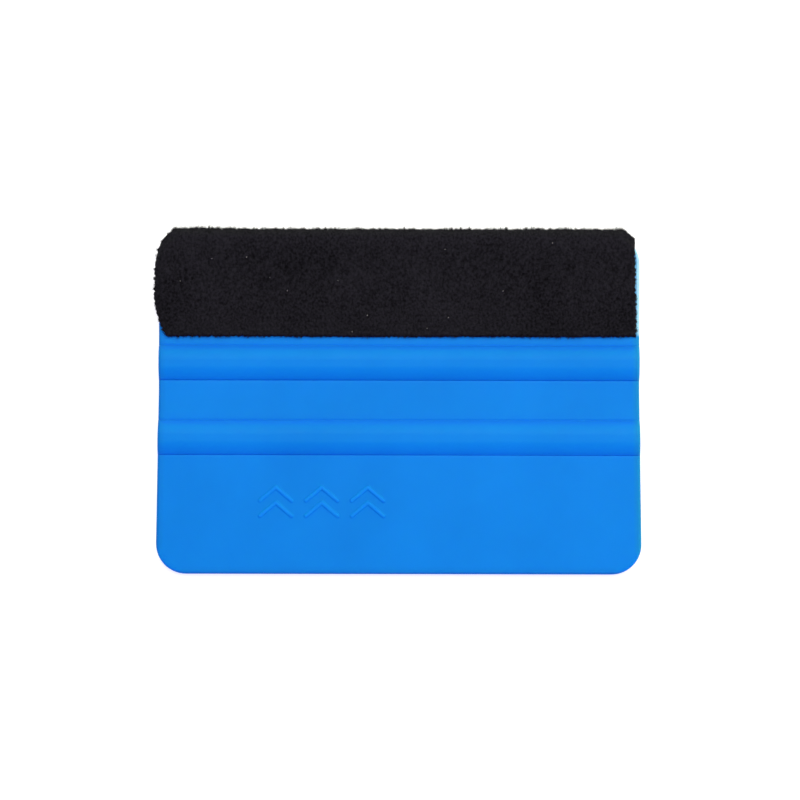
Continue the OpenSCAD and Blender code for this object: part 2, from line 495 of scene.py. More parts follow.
def build_card(material):
    """The whole card as one closed mesh, with the gate's stub let into its side."""
    builder = CardBuilder()
    reach_x = (CHEVRONS - 1) / 2 * CHEVRON_PITCH + CHEVRON_W / 2 + STROKE_W
    reach_y = CHEVRON_STEP / 2 + arm_rise / 2 + STROKE_W
    mark = patch_cells(
        mark_centre[0] - reach_x, mark_centre[1] - reach_y,
        mark_centre[0] + reach_x, mark_centre[1] + reach_y,
    )
    pin_reach = PIN_R + PIN_MARGIN
    pins = [
        patch_cells(x - pin_reach, y - pin_reach, x + pin_reach, y + pin_reach)
        for x, y in pin_places()
    ]
    builder.side(True, [(mark, MARK_SPLIT)])
    builder.side(False, [(pin, PIN_SPLIT) for pin in pins])
    stub_points, stub_faces = gate_stub()
    first = len(builder.points)
    points = np.array(builder.points + stub_points) + [centre_x, 0, middle_z]
    faces = builder.faces + [[first + n for n in face] for face in stub_faces]
    card = make_piece("blade_moulding", points, faces, material)
    x, y, z = points.T - [[centre_x], [0], [middle_z]]
    # The mark's tops, which get a painted highlight.
    store_values(card, "raised", np.clip(mark_height(x, y) / MARK_H, 0, 1) * (z > 0))
    wall = ramp((skin_half(x, y, z > 0) - np.abs(z) - RIM_DEPTH) / RIM_DEPTH)
    # A painted highlight on the right rim.
    right_rim_highlight = ramp(1 - (half_width(y) - x) / RIM_W) * (1 - wall)
    # Painted shade on the left and tail rims.
    other_rim_shade = ramp(1 - np.minimum(half_width(y) + x, y - tail_y)) * (1 - wall)
    store_values(card, "right_rim_highlight", right_rim_highlight)
    store_values(card, "other_rim_shade", other_rim_shade * (1 - right_rim_highlight))
    # The strip beside the felt's right end gets a painted highlight, pale and patchy.
    beside_felt = ramp((past_neck(x, y) + FELT_SIDE_HIGHLIGHT_W) / FELT_SIDE_HIGHLIGHT_FADE) * (x > 0)
    felt_side_highlight = beside_felt * ramp((y - felt_lo.y) / FELT_SIDE_HIGHLIGHT_START) * (1 - wall) * (z > 0)
    store_values(card, "felt_side_highlight", felt_side_highlight)
    # Painted shade along the ridges' front feet, in the crease.
    store_values(card, "foot", foot_shade(y) * (1 - wall))
    return card


# ---- Shape of the felt ----

# Left end: a slight bow, cut back in a curve towards the fold and the flap's corner
LEFT_MOST_Y = 21.5
LEFT_BOW = 0.004
LEFT_SNIP_Y = 27.0
LEFT_SNIP = 0.0038
FLAP_CLIP_Y = 23.0
FLAP_CLIP = 0.0253
BACK_CLIP = 0.024

# Right end: a straight slanting cut with its corner cut off at the fold
RIGHT_IN = 0.32
RIGHT_SLANT = 0.0095
RIGHT_SNIP_X = 2.55
RIGHT_SNIP_SLOPE = 0.9
CUT_SOFT = 0.35

# Cut edges: small uneven tufts on a cut that wanders, felt as far in as CUT_REACH
FLAP_IN = 0.03
SCALLOP = 1.05
SCALLOP_H = 0.11
END_SCALLOP_H = 0.22
SCALLOP_MIDDLE = 0.6
SCALLOP_DRIFT = 0.35
DRIFT_CELL = 3.1
TUFT_UNEVEN = 0.7
TUFT_CELL = 0.5
CUT_WANDER = 0.09
CUT_CELL = 17
CUT_REACH = 1.5

# Outline of the fold, which stands out most a few millimetres from its left end
FOLD_IN = 0.17
FOLD_PUFF = 0.2
FOLD_PUFF_X = 6
FOLD_WANDER = 0.02
FOLD_CELL = 11
FOLD_TUFT = 0.11
FOLD_TUFT_CELLS = (0.36, 0.7)

# Section of the felt, from the card's skin outwards
FELT_IN = ADHESIVE_T + 0.01
FELT_OUT = ADHESIVE_T + FELT_T
FELT_EDGE = 0.04
EDGE_ROLL = 0.55
EDGE_INSET = 0.45

# Top of the pile: two layers of tufts, patches, faint ribs and broad waves
PILE_DROP = 0.2
PILE_TUFT = 0.42
PILE_BROAD = 0.08
TUFT_CELLS = (0.42, 0.62)
SMALL_TUFT_CELLS = (0.31, 0.4)
SMALL_TUFT = 0.7
NAP_SLANT = 0.3
PATCH_CELLS = (2.1, 3.4)
PATCH = 0.45
RIB = 0.18
TOP_SPAN = 2.3
BROAD_CELLS = (9, 6)

# Layers pressed together where they stand past the card's corners
PRESS_START = 0.6
PRESS_W = 1.3
PRESS_DEPTH = 0.92
PRESS_FADE = 3.9
PRESS_SLACK = 1.15

# Adhesive film: the surfaces' distances from the card's skin, and its ragged edge
FILM_OUT = ADHESIVE_T - 0.01
FILM_IN = 0.012
FILM_MARGIN = 0.9
FILM_RAGGED = 0.12
FILM_RAGGED_CELL = 0.9

# Mesh steps of the felt, closer near its cut edges, and of the film. The felt's glued side
# is coarser: GLUED_* say which of the outer surface's columns it keeps, counted from each end
FELT_CELL = 0.24
CUT_STEPS = (0, 0.02, 0.07, 0.15, 0.27, 0.42, 0.6)
GLUED_ENDS = (0, 6, 10, 14, 18, 24, 32)
GLUED_FIRST = 60
GLUED_LAST = 50
GLUED_STEP = 40
FILM_CELL = 0.8
FILM_FOLD_ROWS = 25
FILM_FLAP_ROWS = 22

front_edge_y = felt_lo.y
back_edge_y = felt_lo.y + FLAP_DIFFERENCE
fold_r = NOSE_R + ADHESIVE_T + FELT_T / 2
front_l = nose_y - front_edge_y
fold_l = math.pi * fold_r
back_l = nose_y - back_edge_y
felt_l = front_l + fold_l + back_l


def pressed_share(x, y):
    """From 0 to 1, how far the felt's layers are pressed together past the card's corners."""
    pressed = ramp((past_neck(x - centre_x, y) + PRESS_START) / PRESS_W)
    return pressed * ramp((y - nose_end_y + CORNER_R) / PRESS_FADE)


def felt_section(s, out, x=0.0):
    """Y, Z and outward direction of the felt, s along it and out from the card's skin."""
    s = np.asarray(s, float)
    turn = np.clip((s - front_l) / fold_r, 0, math.pi)
    before = np.minimum(s - front_l, 0)
    after = np.maximum(s - front_l - fold_l, 0)
    straight_y = nose_y + before - after
    pressed = pressed_share(x, straight_y)
    half = card_half(straight_y) * (1 - PRESS_DEPTH * pressed) + out
    slack = PRESS_DEPTH * pressed * NOSE_R * PRESS_SLACK * np.sin(turn)
    y = straight_y + half * np.sin(turn) + slack
    z = half * np.cos(turn)
    return y, z, np.sin(turn), np.cos(turn)


def soft_max(a, b):
    """The larger of two, with a rounded change from one to the other."""
    apart = np.sqrt((a - b) ** 2 + CUT_SOFT**2)
    return (a + b + apart) / 2


def felt_ends(s):
    """X of the felt's left and right ends at each place along it."""
    y = felt_section(s, FELT_OUT)[0]
    back = s > front_l + fold_l / 2
    top = felt_hi.y
    left = felt_lo.x + LEFT_BOW * (y - LEFT_MOST_Y) ** 2
    left = left + LEFT_SNIP * np.maximum(y - LEFT_SNIP_Y, 0) ** 3
    clip = np.where(back, BACK_CLIP, FLAP_CLIP)
    left = left + clip * np.maximum(FLAP_CLIP_Y - y, 0) ** 2
    right = felt_hi.x - RIGHT_IN - RIGHT_SLANT * (y - front_edge_y)
    right = -soft_max(-right, -(felt_hi.x - RIGHT_SNIP_X - (y - top) / RIGHT_SNIP_SLOPE))
    return left, right


def scallops(along, height, seed):
    """How far the cut edge stands out from its line: small uneven tufts on a wandering cut."""
    phase = along / SCALLOP + SCALLOP_DRIFT * lumps(along, 0, DRIFT_CELL, 1, seed)
    tufts = np.abs(np.sin(math.pi * phase)) - SCALLOP_MIDDLE
    tufts = height * (tufts + TUFT_UNEVEN * lumps(along, 0, TUFT_CELL, 1, seed + 1))
    return tufts + CUT_WANDER * lumps(along, 0, CUT_CELL, 1, seed + 2)


def graded(length, cell):
    """Places along a length that are close together near both ends."""
    last = CUT_STEPS[-1]
    count = round((length - 2 * last) / cell)
    middle = np.linspace(last, length - last, count + 1)[1:-1]
    return np.array([*CUT_STEPS, *middle, *(length - step for step in CUT_STEPS[::-1])])


def fold_places(cell):
    """Places along the felt's length, closer round the fold, where the outside is longer."""
    stretch = (NOSE_R + FELT_OUT) / fold_r
    plain = graded(front_l + fold_l * stretch + back_l, cell)
    known = [0, front_l, front_l + fold_l * stretch, front_l + fold_l * stretch + back_l]
    return np.interp(plain, known, [0, front_l, front_l + fold_l, felt_l])


def roll(distance):
    """Share of the full height at this distance from a cut edge."""
    t = np.clip(distance / EDGE_ROLL, 0, 1)
    return np.sqrt(1 - (1 - t) ** 2)


def tuft_height(x, s):
    """Uneven top of the pile, from -1 to 1, drawn out a little along the nap."""
    small = lumps(x + NAP_SLANT * s, s, *SMALL_TUFT_CELLS, 22)
    tufts = lumps(x, s, *TUFT_CELLS, 21) + SMALL_TUFT * small
    patches = lumps(x, s, *PATCH_CELLS, 23)
    ribs = np.sin(2 * math.pi * x / SCALLOP)
    return (tufts + PATCH * patches + RIB * ribs) / TOP_SPAN


def felt_surface(x_share, s):
    """Points of the outer surface for shares of the width and places along the length."""
    left, right = felt_ends(s)
    width = right - left
    x = left + width * x_share
    to_side = np.minimum(x - left, right - x)
    to_flap = np.minimum(s, felt_l - s)
    shape = roll(to_side) * roll(to_flap)
    tuft = tuft_height(x, s)
    broad = lumps(x, s, *BROAD_CELLS, 24)
    full = FELT_OUT - PILE_DROP * (0.5 - PILE_TUFT * tuft - PILE_BROAD * broad)
    out = FELT_EDGE + (full - FELT_EDGE) * shape
    pull_side = 1 - ramp(to_side / CUT_REACH)
    pull_flap = 1 - ramp(to_flap / CUT_REACH)
    side = np.where(x_share < 0.5, -1, 1)
    flap = np.where(s < felt_l / 2, -1, 1)
    x = x + side * pull_side * scallops(s, END_SCALLOP_H, 31)
    s = s + flap * pull_flap * (scallops(x, SCALLOP_H, 41) - FLAP_IN)
    y, z, out_y, out_z = felt_section(s, out, x)
    puff = FOLD_PUFF * np.exp(-((x - left) / FOLD_PUFF_X - 1) ** 2)
    wander = FOLD_WANDER * lumps(x, 0, FOLD_CELL, 1, 25)
    tufts = FOLD_TUFT * lumps(x, s, *FOLD_TUFT_CELLS, 27)
    y = y + (puff + wander + tufts - FOLD_IN) * out_y
    return np.stack([x, y, z], -1), tuft, (out_y, out_z)


def build_felt(material):
    """The felt as one closed folded sheet: tufted outside, plain where it is glued."""
    across = graded(felt_hi.x - felt_lo.x, FELT_CELL) / (felt_hi.x - felt_lo.x)
    along = fold_places(FELT_CELL)
    s, u = np.meshgrid(along, across, indexing="ij")
    outer, tuft, _ = felt_surface(u, s)
    last_j, last_i = len(along) - 1, len(across) - 1
    number = np.arange(outer.shape[0] * outer.shape[1]).reshape(s.shape)
    points = outer.reshape(-1, 3).tolist()
    tufts = tuft.ravel().tolist()
    faces = np.stack(
        [number[:-1, :-1], number[:-1, 1:], number[1:, 1:], number[1:, :-1]], -1
    ).reshape(-1, 4).tolist()

    def inner_point(j, i):
        """A point on the glued side, drawn in from the cut edges."""
        place = EDGE_INSET + along[j] * (felt_l - 2 * EDGE_INSET) / felt_l
        left, right = felt_ends(place)
        width = right - left
        x = left + EDGE_INSET + across[i] * (width - 2 * EDGE_INSET)
        y, z, _, _ = felt_section(place, FELT_IN, x)
        points.append([float(x), float(y), float(z)])
        tufts.append(-1.0)
        return len(points) - 1

    border = [(0, i) for i in range(last_i)] + [(j, last_i) for j in range(last_j)]
    border += [(last_j, i) for i in range(last_i, 0, -1)] + [(j, 0) for j in range(last_j, 0, -1)]
    inner = {place: inner_point(*place) for place in border}
    for a, b in zip(border, border[1:] + border[:1]):
        faces.append([inner[a], inner[b], int(number[b]), int(number[a])])

    first_fold = int(np.searchsorted(along, front_l))
    last_fold = int(np.searchsorted(along, front_l + fold_l))
    lines_j = [0, first_fold // 2, *range(first_fold, last_fold + 1, 2)]
    lines_j += [(last_fold + last_j) // 2, last_j]
    lines_i = [*GLUED_ENDS, *range(GLUED_FIRST, last_i - GLUED_LAST, GLUED_STEP)]
    lines_i += [last_i - n for n in GLUED_ENDS[::-1]]
    for j in lines_j[1:-1]:
        for i in lines_i[1:-1]:
            inner[j, i] = inner_point(j, i)

    def walk(a, b):
        """The glued side's points from one crossing to the next, without the last."""
        steps = max(abs(b[0] - a[0]), abs(b[1] - a[1]))
        dj, di = (b[0] - a[0]) // steps, (b[1] - a[1]) // steps
        passed = [(a[0] + dj * n, a[1] + di * n) for n in range(steps)]
        edge = a[0] == b[0] in (0, last_j) or a[1] == b[1] in (0, last_i)
        return [inner[p] for p in (passed if edge else passed[:1])]

    for j0, j1 in zip(lines_j, lines_j[1:]):
        for i0, i1 in zip(lines_i, lines_i[1:]):
            loop = walk((j0, i0), (j1, i0)) + walk((j1, i0), (j1, i1))
            loop += walk((j1, i1), (j0, i1)) + walk((j0, i1), (j0, i0))
            faces.append(loop)

    placed = np.array(points) + [0, 0, middle_z]
    felt = make_piece("felt_pile_strip", placed, [f[::-1] for f in faces], material)
    store_values(felt, "tuft", tufts)
    return felt


def build_tape(material):
    """The adhesive under the felt: a thin folded film with slightly uneven edges."""
    fold_end = front_l + fold_l
    s = np.concatenate([
        np.linspace(FILM_MARGIN, front_l, FILM_FLAP_ROWS)[:-1],
        np.linspace(front_l, fold_end, FILM_FOLD_ROWS),
        np.linspace(fold_end, felt_l - FILM_MARGIN, FILM_FLAP_ROWS)[1:],
    ])
    left, right = felt_ends(s)
    left = left + FILM_MARGIN + FILM_RAGGED * lumps(s, 0, FILM_RAGGED_CELL, 1, 51)
    right = right - FILM_MARGIN + FILM_RAGGED * lumps(s, 0, FILM_RAGGED_CELL, 1, 52)
    u = graded(right[0] - left[0], FILM_CELL) / (right[0] - left[0])
    x = left[:, None] + (right - left)[:, None] * u
    s = np.broadcast_to(s[:, None], x.shape)
    layers = []
    for out in (FILM_OUT, FILM_IN):
        y, z, _, _ = felt_section(s, out, x)
        layers.append(np.stack([x, y, z], -1).reshape(-1, 3))
    high, wide = x.shape
    n = np.arange(high * wide).reshape(high, wide)
    quads = np.stack([n[:-1, :-1], n[:-1, 1:], n[1:, 1:], n[1:, :-1]], -1).reshape(-1, 4)
    faces = quads[:, ::-1].tolist() + (quads + high * wide).tolist()
    border = [*n[0, :-1], *n[:-1, -1], *n[-1, :0:-1], *n[:0:-1, 0]]
    for a, b in zip(border, border[1:] + border[:1]):
        faces.append([int(a), int(b), int(b) + high * wide, int(a) + high * wide])
    points = np.concatenate(layers) + [0, 0, middle_z]
    return make_piece("adhesive_film", points, faces, material)


# ---- Loose fibres ----

# How many fibres there are all over, round the fold, and along each cut edge
FUZZ_FACE = 19000
FUZZ_FOLD = 17000
FUZZ_FLAP = 4500
FUZZ_END = 4500

# How far they spread: as a share of the way round the fold, in millimetres from a flap's
# edge, and as a share of the felt's width from its ends
FOLD_SPREAD = 0.17
EDGE_SPREAD = 0.12
END_SPREAD = 0.0012

# Shape of one fibre; the shares are of its length or its radius
FACE_FIBRE_R = 0.018
EDGE_FIBRE_R = 0.03
SHORTEST = 0.12
ROOT_DEPTH = 0.07
FIBRE_BEND = 0.7
MIDDLE_SHARE = 0.55
MIDDLE_BEND = 0.3
MIDDLE_R = 0.8

# How unevenly the fibres stand: each on its own, and together in locks and clumps
FIBRE_STRAY = 0.4
LOCK_LEAN = 0.8
LOCK_CELLS = (0.4, 0.5)
CLUMP_MIDDLE = 0.7
CLUMP_SWING = 2.2
CLUMP_RANGE = (0.1, 2.4)
CLUMP_CELLS = (0.32, 0.45)

# Least height above the table
FLOOR_GAP = 0.02

# Specks of dust
LINT_COUNT = 13
LINT_R = 0.06
LINT_BEND = 0.6
LINT_RISE = 0.04
LINT_LENGTHS = (0.16, 0.36)
LINT_SHARES = (0.04, 0.97)
LINT_MARGIN = 1
LINT_FLATNESS = (1, 1, 0.15)
LINT_LIFT = (0, 0, 0.1)


def fibres(roots, ways, lengths, radius, bend, rng):
    """Thin three-sided fibres that bend and taper to a point."""
    count = len(roots)
    across = np.cross(ways, rng.normal(size=(count, 3)))
    across /= np.linalg.norm(across, axis=1, keepdims=True)
    third = np.cross(ways, across)
    sag = rng.uniform(-bend, bend, (count, 1)) * lengths[:, None]
    points = np.zeros((count, 7, 3))
    for corner in range(3):
        turn = 2 * math.pi * corner / 3
        rim = across * math.cos(turn) + third * math.sin(turn)
        points[:, corner] = roots + rim * radius
        middle = roots + ways * lengths[:, None] * MIDDLE_SHARE + across * sag * MIDDLE_BEND
        points[:, 3 + corner] = middle + rim * radius * MIDDLE_R
    points[:, 6] = roots + ways * lengths[:, None] + across * sag
    base = (np.arange(count) * 7)[:, None]
    quads = [[0, 1, 4, 3], [1, 2, 5, 4], [2, 0, 3, 5]]
    triangles = [[2, 1, 0], [3, 4, 6], [4, 5, 6], [5, 3, 6]]
    faces = []
    for corners in quads + triangles:
        faces += (base + np.array(corners)).tolist()
    return points.reshape(-1, 3), faces


def face_places(rng):
    """Shares of the width and places along the felt for fibres all over it."""
    return rng.uniform(0, 1, FUZZ_FACE), rng.uniform(0, felt_l, FUZZ_FACE)


def fold_fuzz_places(rng):
    """The same for the fibres round the fold."""
    turn = np.clip(rng.normal(0.5, FOLD_SPREAD, FUZZ_FOLD), 0, 1)
    return rng.uniform(0, 1, FUZZ_FOLD), front_l + fold_l * turn


def edge_places(rng):
    """The same for the fibres along the cut edges."""
    groups = [
        (rng.uniform(0, 1, FUZZ_FLAP), rng.exponential(EDGE_SPREAD, FUZZ_FLAP)),
        (rng.uniform(0, 1, FUZZ_FLAP), felt_l - rng.exponential(EDGE_SPREAD, FUZZ_FLAP)),
        (rng.exponential(END_SPREAD, FUZZ_END), rng.uniform(0, felt_l, FUZZ_END)),
        (1 - rng.exponential(END_SPREAD, FUZZ_END), rng.uniform(0, felt_l, FUZZ_END)),
    ]
    share = np.concatenate([group[0] for group in groups])
    place = np.concatenate([group[1] for group in groups])
    return np.clip(share, 0, 1), np.clip(place, 0, felt_l)


def build_fuzz(name, places, radius, material, spare, longest, clumping, seed):
    """Loose fibres that stand out of the pile. Past SHORTEST they are about spare long."""
    rng = np.random.default_rng(seed)
    share, s = places(rng)
    points, _, (out_y, out_z) = felt_surface(share, s)
    left, right = felt_ends(s)
    x = left + (right - left) * share
    side = np.where(share < 0.5, -1, 1) * (1 - roll(np.minimum(x - left, right - x)))
    flap = 1 - roll(np.minimum(s, felt_l - s))
    away = np.stack([side, out_y * (1 - flap) - flap, out_z], -1)
    seeds = (seed + 2, seed + 3, seed + 4)
    locks = np.stack([lumps(x, s, *LOCK_CELLS, n) for n in seeds], -1)
    ways = away + FIBRE_STRAY * rng.normal(size=points.shape) + LOCK_LEAN * clumping * locks
    ways /= np.linalg.norm(ways, axis=1, keepdims=True)
    uneven = lumps(x, s, *CLUMP_CELLS, seed + 1)
    clump = np.clip(CLUMP_MIDDLE + CLUMP_SWING * clumping * uneven, *CLUMP_RANGE)
    lengths = np.minimum(SHORTEST + clump * rng.exponential(spare, len(s)), longest)
    roots = points - ways * ROOT_DEPTH
    made, faces = fibres(roots, ways, lengths, radius, FIBRE_BEND, rng)
    made[:, 2] = np.maximum(made[:, 2], FLOOR_GAP - middle_z)
    return make_piece(name, made + [0, 0, middle_z], faces, material)


def build_lint(material):
    """A few pale specks of dust caught in the pile, each a tiny curl."""
    rng = np.random.default_rng(17)
    share = rng.uniform(*LINT_SHARES, LINT_COUNT)
    s = rng.uniform(LINT_MARGIN, front_l - LINT_MARGIN, LINT_COUNT)
    roots, _, _ = felt_surface(share, s)
    ways = rng.normal(size=(LINT_COUNT, 3)) * LINT_FLATNESS + LINT_LIFT
    ways /= np.linalg.norm(ways, axis=1, keepdims=True)
    lengths = rng.uniform(*LINT_LENGTHS, LINT_COUNT)
    made, faces = fibres(roots + [0, 0, LINT_RISE], ways, lengths, LINT_R, LINT_BEND, rng)
    return make_piece("felt_lint", made + [0, 0, middle_z], faces, material)


# ---- Materials ----


class Nodes:
    """A new material and a short way to add and join its nodes."""

    def __init__(self, name):
        self.material = bpy.data.materials.new(name)
        self.material.use_nodes = True
        self.tree = self.material.node_tree
        self.shader = self.tree.nodes["Principled BSDF"]
        self.place = self.add("ShaderNodeTexCoord").outputs["Object"]

    def add(self, kind, **values):
        """Adds a node and sets its properties."""
        node = self.tree.nodes.new(kind)
        for key, value in values.items():
            setattr(node, key, value)
        return node

    def join(self, source, target):
        """Joins a node's output to another's input."""
        self.tree.links.new(source, target)

    def set(self, **values):
        """Sets the shader's own sockets, named with _ for a space."""
        for key, value in values.items():
            self.shader.inputs[key.replace("_", " ")].default_value = value

    def stored(self, name):
        """The numbers that store_values kept on the piece under this name."""
        return self.add("ShaderNodeAttribute", attribute_name=name).outputs["Fac"]

    def noise(self, size, detail=2.0, rough=0.5, stretch=(1, 1, 1)):
        """Noise whose features are about this many millimetres wide."""
        mapping = self.add("ShaderNodeMapping")
        mapping.inputs["Scale"].default_value = stretch
        self.join(self.place, mapping.inputs["Vector"])
        noise = self.add("ShaderNodeTexNoise")
        noise.inputs["Scale"].default_value = 1 / (size * MM)
        noise.inputs["Detail"].default_value = detail
        noise.inputs["Roughness"].default_value = rough
        self.join(mapping.outputs["Vector"], noise.inputs["Vector"])
        return noise.outputs["Fac"]

    def spread(self, source, low, high, to_low, to_high):
        """Maps a range of values to another."""
        node = self.add("ShaderNodeMapRange")
        for key, value in zip(
            ("From Min", "From Max", "To Min", "To Max"), (low, high, to_low, to_high)
        ):
            node.inputs[key].default_value = value
        self.join(source, node.inputs["Value"])
        return node.outputs["Result"]

    def widen(self, noise, low=0.0, high=1.0):
        """Spreads noise, which is mostly between 0.3 and 0.7, over a wider range."""
        return self.spread(noise, 0.3, 0.7, low, high)

    def sum(self, a, b, weight):
        """a plus b times the weight."""
        node = self.add("ShaderNodeMath", operation="MULTIPLY_ADD")
        self.join(b, node.inputs[0])
        node.inputs[1].default_value = weight
        self.join(a, node.inputs[2])
        return node.outputs["Value"]

    def blend(self, factor, first, second):
        """A colour between two, by the factor."""
        node = self.add("ShaderNodeMix", data_type="RGBA")
        self.join(factor, node.inputs["Factor"])
        for socket, colour in ((node.inputs[6], first), (node.inputs[7], second)):
            if isinstance(colour, tuple):
                socket.default_value = (*colour, 1)
            else:
                self.join(colour, socket)
        return node.outputs[2]

    def bump(self, height, depth, strength=1.0, under=None):
        """Bump that is about this many millimetres deep."""
        node = self.add("ShaderNodeBump")
        node.inputs["Strength"].default_value = strength
        node.inputs["Distance"].default_value = depth * MM
        self.join(height, node.inputs["Height"])
        if under:
            self.join(under, node.inputs["Normal"])
        return node.outputs["Normal"]


# Blue of the card, and the blues of its painted light: a painted highlight on the mark, the right
# rim and the strip beside the felt, and painted shade at the ridges' front feet and on the other
# rims
BLUE_LOW = (0.001, 0.202, 0.665)
BLUE_HIGH = (0.002, 0.23, 0.735)
BLUE_MARK_HIGHLIGHT = (0.003, 0.238, 0.77)
BLUE_FOOT_SHADE = (0.006, 0.18, 0.74)
BLUE_RIGHT_RIM_HIGHLIGHT = (0.008, 0.256, 0.47)
BLUE_OTHER_RIM_SHADE = (0.006, 0.17, 0.5)
BLUE_FELT_SIDE_HIGHLIGHT = (0.34, 0.66, 0.79)


def blade_plastic():
    """Blue polypropylene with a fine moulded grain and faint flow marks, and painted highlights
    and shade on the mark, the ridges' feet, the rims and beside the felt.
    """
    n = Nodes("blade_plastic")
    broad = n.noise(16, detail=3)
    fine = n.noise(0.9, detail=4, rough=0.6)
    mottle = n.sum(n.widen(broad, high=0.75), fine, 0.25)
    colour = n.blend(mottle, BLUE_LOW, BLUE_HIGH)
    # The raised mark's top is painted lighter: a painted highlight.
    colour = n.blend(n.spread(n.stored("raised"), 0.5, 1, 0, 1), colour, BLUE_MARK_HIGHLIGHT)
    # Painted shade along the ridges' front feet.
    colour = n.blend(n.stored("foot"), colour, BLUE_FOOT_SHADE)
    # Painted highlight on the right rim.
    colour = n.blend(n.stored("right_rim_highlight"), colour, BLUE_RIGHT_RIM_HIGHLIGHT)
    # Painted shade on the left and tail rims.
    colour = n.blend(n.stored("other_rim_shade"), colour, BLUE_OTHER_RIM_SHADE)
    # Painted highlight on the strip beside the felt's right end.
    patchy = n.sum(n.stored("felt_side_highlight"), n.noise(1.2, detail=4), 0.6)
    colour = n.blend(n.spread(patchy, 0.45, 1.15, 0, 1), colour, BLUE_FELT_SIDE_HIGHLIGHT)
    n.join(colour, n.shader.inputs["Base Color"])
    scuff = n.noise(3.0, detail=5, rough=0.7, stretch=(1, 0.12, 1))
    roughness = n.spread(n.sum(scuff, fine, 0.5), 0.4, 1.1, 0.46, 0.62)
    n.join(roughness, n.shader.inputs["Roughness"])
    grain = n.noise(0.16, detail=3, rough=0.6)
    waves = n.noise(5.0, detail=2)
    normal = n.bump(waves, 0.02)
    n.join(n.bump(grain, 0.006, under=normal), n.shader.inputs["Normal"])
    n.set(Specular_IOR_Level=0.07, Subsurface_Weight=0.12, Subsurface_Scale=0.002)
    n.shader.inputs["Subsurface Radius"].default_value = (0.05, 0.15, 1.0)
    return n.material


# Black of the pile, with painted shade between its tufts and a painted sheen on them, and how far
# back from the fold a painted sheen makes it paler
BLACK_LOW = (0.001, 0.0009, 0.0013)
BLACK_HIGH = (0.0162, 0.0155, 0.0197)
FOLD_SHEEN_L = 5.0

# Darkest and palest of the loose fibres, the dust and the adhesive
FIBRE_LOW = (0.0068, 0.0063, 0.0083)
FIBRE_HIGH = (0.0225, 0.0205, 0.025)
DUST_LOW = (0.2, 0.195, 0.19)
DUST_HIGH = (0.6, 0.58, 0.56)
CREAM_LOW = (0.58, 0.54, 0.42)
CREAM_HIGH = (0.76, 0.73, 0.62)


def felt_pile():
    """Black pile with random grain: painted shade between the tufts, and a painted grey sheen on
    their tips and near the fold.
    """
    n = Nodes("felt_pile")
    # The tufts' tips are painted paler, a painted sheen, and the hollows between them darker, a
    # painted shade; the noises add random grain.
    tuft = n.spread(n.stored("tuft"), -0.8, 0.8, 0, 1)
    grain = n.noise(0.5, detail=3, rough=0.6, stretch=(1, 0.85, 1))
    height = n.sum(n.widen(grain, high=0.68), tuft, 0.26)
    height = n.sum(height, n.widen(n.noise(3.2, detail=3)), 0.1)
    height = n.sum(height, n.widen(n.noise(20, detail=2)), 0.18)
    # Towards the fold the pile is painted paler: a painted sheen where the curved fold catches
    # the light.
    place = n.add("ShaderNodeSeparateXYZ")
    n.join(n.place, place.inputs["Vector"])
    fold_sheen = n.spread(place.outputs["Y"], (felt_hi.y - FOLD_SHEEN_L) * MM, felt_hi.y * MM, 0, 1)
    height = n.sum(height, fold_sheen, 0.23)
    colour = n.blend(n.spread(height, 0.19, 1.01, 0, 1), BLACK_LOW, BLACK_HIGH)
    n.join(colour, n.shader.inputs["Base Color"])
    hairs = n.noise(0.08, detail=2, stretch=(1, 0.4, 1))
    n.join(n.bump(n.sum(hairs, grain, 0.6), 0.05), n.shader.inputs["Normal"])
    n.set(Roughness=0.95, Specular_IOR_Level=0.04, Sheen_Weight=0.02, Sheen_Roughness=0.6)
    n.shader.inputs["Sheen Tint"].default_value = (0.8, 0.8, 0.9, 1)
    return n.material


def fuzz_fibre():
    """The same black as the pile, a little greyer at some fibres."""
    n = Nodes("felt_fibre")
    shade = n.spread(n.noise(0.5, detail=2), 0.35, 0.65, 0, 1)
    colour = n.blend(shade, FIBRE_LOW, FIBRE_HIGH)
    n.join(colour, n.shader.inputs["Base Color"])
    n.join(n.bump(n.noise(0.05), 0.004), n.shader.inputs["Normal"])
    n.set(Roughness=0.8, Specular_IOR_Level=0.2)
    return n.material


def lint_fibre():
    """Pale dust, from off-white to grey."""
    n = Nodes("lint_fibre")
    shade = n.widen(n.noise(0.3, detail=2))
    colour = n.blend(shade, DUST_LOW, DUST_HIGH)
    n.join(colour, n.shader.inputs["Base Color"])
    n.join(n.bump(n.noise(0.04), 0.004), n.shader.inputs["Normal"])
    n.set(Roughness=0.9)
    return n.material


def tape_adhesive():
    """Cloudy cream adhesive with small trapped bubbles."""
    n = Nodes("tape_adhesive")
    cloud = n.noise(2.5, detail=3)
    colour = n.blend(n.widen(cloud), CREAM_LOW, CREAM_HIGH)
    n.join(colour, n.shader.inputs["Base Color"])
    bubbles = n.add("ShaderNodeTexVoronoi")
    bubbles.inputs["Scale"].default_value = 1 / (0.5 * MM)
    n.join(n.place, bubbles.inputs["Vector"])
    dents = n.spread(bubbles.outputs["Distance"], 0.0, 0.35, 1, 0)
    n.join(n.bump(dents, 0.02), n.shader.inputs["Normal"])
    n.join(n.widen(cloud, 0.3, 0.45), n.shader.inputs["Roughness"])
    return n.material


# ---- Studio ----

# In metres. PICTURE_W is how much of the card's middle plane the picture takes in
CAMERA_HEIGHT = 0.6
PICTURE_W = 0.16741
CAMERA_X = 0.00038
CAMERA_Y = 0.00025
CAMERA_ROLL = math.radians(0.12)

KEY_TILT = math.radians(24)
KEY_SWING = math.radians(14)
KEY_DISTANCE = 1.05
KEY_SIZE = 0.73
KEY_POWER = 11.15
KEY_COLOUR = (1.0, 0.98, 0.9)

